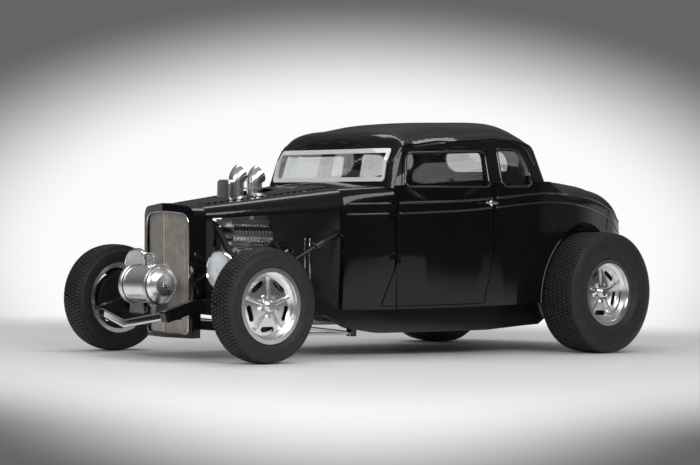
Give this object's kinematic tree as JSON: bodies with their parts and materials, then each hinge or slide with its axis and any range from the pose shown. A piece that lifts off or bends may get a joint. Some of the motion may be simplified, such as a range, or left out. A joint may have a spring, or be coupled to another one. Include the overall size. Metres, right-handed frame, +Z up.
{
  "type": "hot rod coupe",
  "caption": "Fenderless, chopped hot rod coupe with a ribbed blower, louvered hood top, upright V grille, round front fuel tank and slotted spoked wheels.",
  "frame": {"origin": "on the floor under the middle of the car's overall length and width", "axes": "+X forward along the car, +Y to the car's left, +Z up from the floor the tyres stand on"},
  "size_m": [3.7915, 1.743, 1.4334],
  "materials": {
    "body_paint": "deep gloss black paint",
    "frame_paint": "gloss black paint",
    "tyre_rubber": "satin black rubber",
    "wheel_polish": "polished aluminium",
    "bright_trim": "bright chrome plate",
    "tank_polish": "polished aluminium",
    "grille_bars": "satin stainless steel",
    "engine_paint": "black engine enamel",
    "head_polish": "polished finned aluminium",
    "blower_cast": "polished ribbed aluminium",
    "chassis_steel": "black chassis paint",
    "belt_rubber": "matt black rubber",
    "radiator_core": "black painted aluminium core",
    "exhaust_steel": "heat-dulled steel",
    "window_glass": "clear laminated glass",
    "lamp_glass": "fluted clear glass",
    "tail_glass": "red lens",
    "seat_leather": "grey-green pleated leather",
    "cab_trim": "grey interior paint",
    "floor_liner": "black floor coating",
    "wheel_rim_plastic": "black steering rim"
  },
  "bodies": {
    "chassis": {"air_scoops": "bright_trim", "blower": "blower_cast", "blower_belt": "belt_rubber", "body_shell": "body_paint", "carburettors": "bright_trim", "cowl": "body_paint", "cylinder_heads": "head_polish", "dashboard": "cab_trim", "engine": "engine_paint", "exhaust": "exhaust_steel", "floor_pan": "floor_liner", "frame_rails": "frame_paint", "front_axle": "chassis_steel", "front_bar": "bright_trim", "fuel_tank": "tank_polish", "grille_insert": "grille_bars", "grille_surround": "body_paint", "headlamp_lenses": "lamp_glass", "headlamps": "bright_trim", "hood_top": "body_paint", "leaf_springs": "chassis_steel", "pulleys": "bright_trim", "quarter_glass": "window_glass", "radiator": "radiator_core", "radius_rods": "bright_trim", "rear_axle": "chassis_steel", "rear_glass": "window_glass", "seat": "seat_leather", "steering_column": "chassis_steel", "tail_lamps": "tail_glass", "tank_rings": "tank_polish", "windshield_frame": "bright_trim", "windshield_glass": "window_glass"},
    "knuckle_left": {"knuckle_left": "chassis_steel"},
    "knuckle_right": {"knuckle_right": "chassis_steel"},
    "tie_rod": {"tie_rod": "bright_trim"},
    "drag_link": {"drag_link": "bright_trim"},
    "pitman_arm": {"pitman_arm": "chassis_steel"},
    "steering_wheel": {"steering_wheel": "wheel_rim_plastic"},
    "door_left": {"door_left": "body_paint", "door_glass_left": "window_glass"},
    "door_right": {"door_right": "body_paint", "door_glass_right": "window_glass"},
    "deck_lid": {"deck_lid": "body_paint"},
    "wheel_front_left": {"wheel_front_left": "wheel_polish", "tyre_front_left": "tyre_rubber"},
    "wheel_front_right": {"wheel_front_right": "wheel_polish", "tyre_front_right": "tyre_rubber"},
    "wheel_rear_left": {"wheel_rear_left": "wheel_polish", "tyre_rear_left": "tyre_rubber"},
    "wheel_rear_right": {"wheel_rear_right": "wheel_polish", "tyre_rear_right": "tyre_rubber"}
  },
  "joints": [
    {"name": "steer_left", "type": "hinge", "parent": "chassis", "child": "knuckle_left", "pos_m": [1.466, 0.59, 0.315], "axis": [0, 0, 1], "range_deg": [-28, 28]},
    {"name": "steer_right", "type": "hinge", "parent": "chassis", "child": "knuckle_right", "pos_m": [1.466, -0.59, 0.315], "axis": [0, 0, 1], "range_deg": [-28, 28]},
    {"name": "tie_rod_pivot", "type": "hinge", "parent": "knuckle_left", "child": "tie_rod", "pos_m": [1.336, 0.59, 0.19], "axis": [0, 0, 1], "range_deg": [-28, 28]},
    {"name": "pitman_pivot", "type": "hinge", "parent": "chassis", "child": "pitman_arm", "pos_m": [1.404, 0.235, 0.25], "axis": [0, 0, 1], "range_deg": [-28, 28]},
    {"name": "drag_link_pivot", "type": "hinge", "parent": "pitman_arm", "child": "drag_link", "pos_m": [1.214, 0.235, 0.19], "axis": [0, 0, 1], "range_deg": [-28, 28]},
    {"name": "steering_wheel_turn", "type": "hinge", "parent": "chassis", "child": "steering_wheel", "pos_m": [0.205, 0.35, 0.897], "axis": [-0.9165, 0.0165, 0.3996], "range_deg": [-336, 336]},
    {"name": "front_left_roll", "type": "hinge", "parent": "knuckle_left", "child": "wheel_front_left", "pos_m": [1.466, 0.701, 0.3155], "axis": [0, 1, 0], "continuous": true},
    {"name": "front_right_roll", "type": "hinge", "parent": "knuckle_right", "child": "wheel_front_right", "pos_m": [1.466, -0.701, 0.3155], "axis": [0, 1, 0], "continuous": true},
    {"name": "rear_left_roll", "type": "hinge", "parent": "chassis", "child": "wheel_rear_left", "pos_m": [-1.226, 0.7225, 0.38], "axis": [0, 1, 0], "continuous": true},
    {"name": "rear_right_roll", "type": "hinge", "parent": "chassis", "child": "wheel_rear_right", "pos_m": [-1.226, -0.7225, 0.38], "axis": [0, 1, 0], "continuous": true},
    {"name": "door_left_hinge", "type": "hinge", "parent": "chassis", "child": "door_left", "pos_m": [0.38224, 0.604, 0.69337], "axis": [0.0262, 0, 0.9997], "range_deg": [-65, 0]},
    {"name": "door_right_hinge", "type": "hinge", "parent": "chassis", "child": "door_right", "pos_m": [0.38224, -0.604, 0.69337], "axis": [0.0262, 0, 0.9997], "range_deg": [0, 65]},
    {"name": "deck_lid_hinge", "type": "hinge", "parent": "chassis", "child": "deck_lid", "pos_m": [-0.99804, 0, 1.08264], "axis": [0, 1, 0], "range_deg": [0, 50]}
  ],
  "couplings": [
    {"joint": "steer_right", "follows": "steer_left", "ratio": 1},
    {"joint": "tie_rod_pivot", "follows": "steer_left", "ratio": -1},
    {"joint": "pitman_pivot", "follows": "steer_left", "ratio": 1},
    {"joint": "drag_link_pivot", "follows": "steer_left", "ratio": -1},
    {"joint": "steering_wheel_turn", "follows": "steer_left", "ratio": 12}
  ]
}
